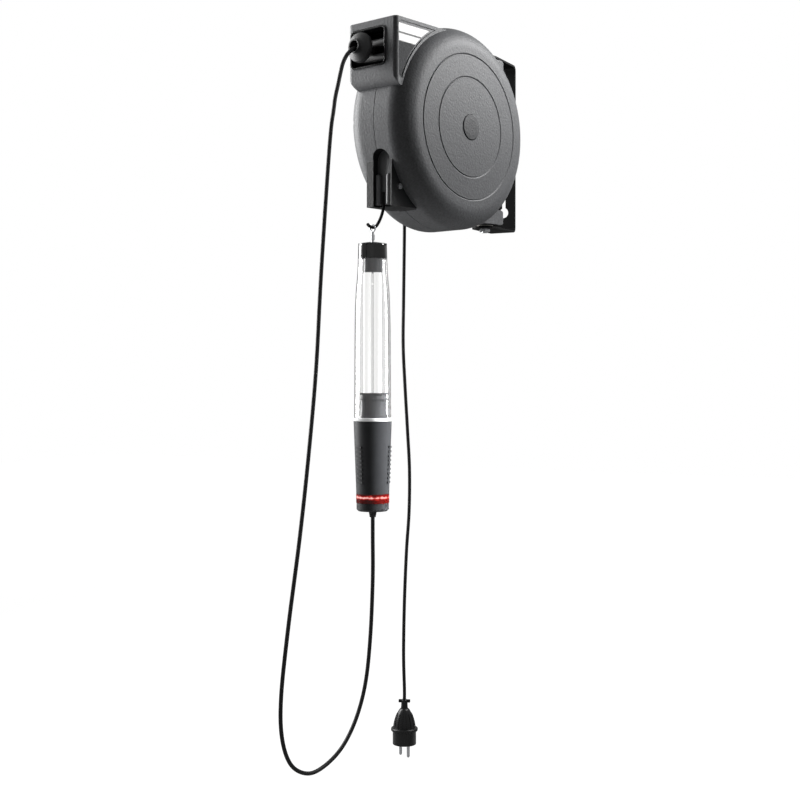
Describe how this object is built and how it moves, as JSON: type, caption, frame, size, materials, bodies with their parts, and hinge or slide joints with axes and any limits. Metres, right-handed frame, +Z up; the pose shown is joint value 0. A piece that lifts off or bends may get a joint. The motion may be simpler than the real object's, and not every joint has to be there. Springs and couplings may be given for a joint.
{
  "type": "wall-mounted cord reel with hand lamp",
  "caption": "Spring-return cord reel in a round casing on a swivelling wall bracket, with a ball stop at its mouth, a hand lamp on its hook and a supply lead with a plug.",
  "frame": {"origin": "On the wall face of the bracket, midway between the round ends of its two keyholes", "axes": "+Z up, +Y into the wall, -Y towards the cord's mouth, +X towards the casing's domed face"},
  "size_m": [0.1715, 0.5087, 1.11],
  "materials": {
    "black_steel": "satin powder coat",
    "zinc_steel": "zinc plated",
    "casing_plastic": "fine texture",
    "dark_plastic": "fine texture",
    "black_rubber": "matt",
    "cable_jacket": "smooth rubber",
    "white_label": "blank printed film",
    "nylon": "natural",
    "drum_plastic": "moulded",
    "pressed_steel": "mill finish",
    "sintered_bronze": "matt",
    "carbon": "pressed",
    "clear_plastic": "polished",
    "lamp_glass": "phosphor-coated glass",
    "circuit_board": "lacquered",
    "red_plastic": "translucent"
  },
  "bodies": {
    "bracket": {"wall_bracket": "black_steel", "pivot_pins": "zinc_steel", "pivot_washers": "nylon", "pivot_nuts": "zinc_steel"},
    "casing": {"pivot_bushes": "nylon", "front_casing": "casing_plastic", "rear_casing": "casing_plastic", "centre_cap": "dark_plastic", "casing_screws": "zinc_steel", "label_strips": "white_label", "mouth_frame": "dark_plastic", "roller_axles": "zinc_steel", "feed_cord": "cable_jacket", "ball_stop": "black_rubber", "cord_clamp": "black_rubber", "hook_holder": "dark_plastic", "hook_rod": "black_steel", "hook_screws": "zinc_steel", "main_shaft": "zinc_steel", "shaft_rings": "zinc_steel", "spring_arbor": "zinc_steel", "pawl_pin": "zinc_steel", "pawl_spring": "pressed_steel", "brush_holder": "dark_plastic", "brushes": "carbon", "inlet_cover": "dark_plastic", "inlet_screws": "zinc_steel", "terminal_block": "nylon", "supply_gland": "black_rubber", "supply_cord": "cable_jacket", "plug_relief": "black_rubber", "plug_body": "black_rubber", "plug_pins": "zinc_steel", "lamp_lead": "cable_jacket"},
    "drum": {"return_spring": "pressed_steel", "spring_cup": "pressed_steel", "spring_cover": "pressed_steel", "drum_core": "drum_plastic", "front_flange": "drum_plastic", "flange_screws": "zinc_steel", "hub_bushes": "sintered_bronze", "cord_layers": "cable_jacket", "wound_cord": "cable_jacket", "ratchet_wheel": "pressed_steel", "ring_carrier": "nylon", "slip_rings": "sintered_bronze"},
    "upper_roller": {"upper_roller": "dark_plastic"},
    "lower_roller": {"lower_roller": "dark_plastic"},
    "pawl": {"pawl": "pressed_steel"},
    "lamp_hanger": {"lamp_eye": "zinc_steel"},
    "lamp": {"lamp_cap": "dark_plastic", "clear_tube": "clear_plastic", "lamp_limbs": "lamp_glass", "lamp_socket": "dark_plastic", "ballast": "circuit_board", "lamp_grip": "black_rubber", "red_ring": "red_plastic", "lamp_gland": "black_rubber"}
  },
  "joints": [
    {"name": "swivel", "type": "hinge", "parent": "bracket", "child": "casing", "pos_m": [0, -0.075, 0.0095], "axis": [0, 0, 1], "range_deg": [-62.4, 87.6]},
    {"name": "drum_spin", "type": "hinge", "parent": "casing", "child": "drum", "pos_m": [-0.02443, -0.1843, 0.012], "axis": [0.9759, -0.2181, 0], "range_deg": [0, 6480], "stiffness_Nm_per_rad": 0.015, "springref_deg": -4984.73, "deforming": ["return_spring"]},
    {"name": "pawl_rock", "type": "hinge", "parent": "casing", "child": "pawl", "pos_m": [-0.05161, -0.14544, -0.0434], "axis": [0.9759, -0.2181, 0], "range_deg": [0, 8.5], "stiffness_Nm_per_rad": 0.05, "deforming": ["pawl_spring"]},
    {"name": "upper_roller_spin", "type": "hinge", "parent": "casing", "child": "upper_roller", "pos_m": [-0.06336, -0.31834, 0.1195], "axis": [0.9759, -0.2181, 0], "continuous": true},
    {"name": "lower_roller_spin", "type": "hinge", "parent": "casing", "child": "lower_roller", "pos_m": [-0.06336, -0.31834, 0.0985], "axis": [0.9759, -0.2181, 0], "continuous": true},
    {"name": "lamp_swing", "type": "hinge", "parent": "casing", "child": "lamp_hanger", "pos_m": [-0.05737, -0.33167, -0.1445], "axis": [0.2181, 0.9759, 0], "range_deg": [-30, 30], "deforming": ["lamp_lead"]},
    {"name": "lamp_twist", "type": "hinge", "parent": "lamp_hanger", "child": "lamp", "pos_m": [-0.05737, -0.33167, -0.166], "axis": [0, 0, 1], "range_deg": [-180, 180]}
  ]
}
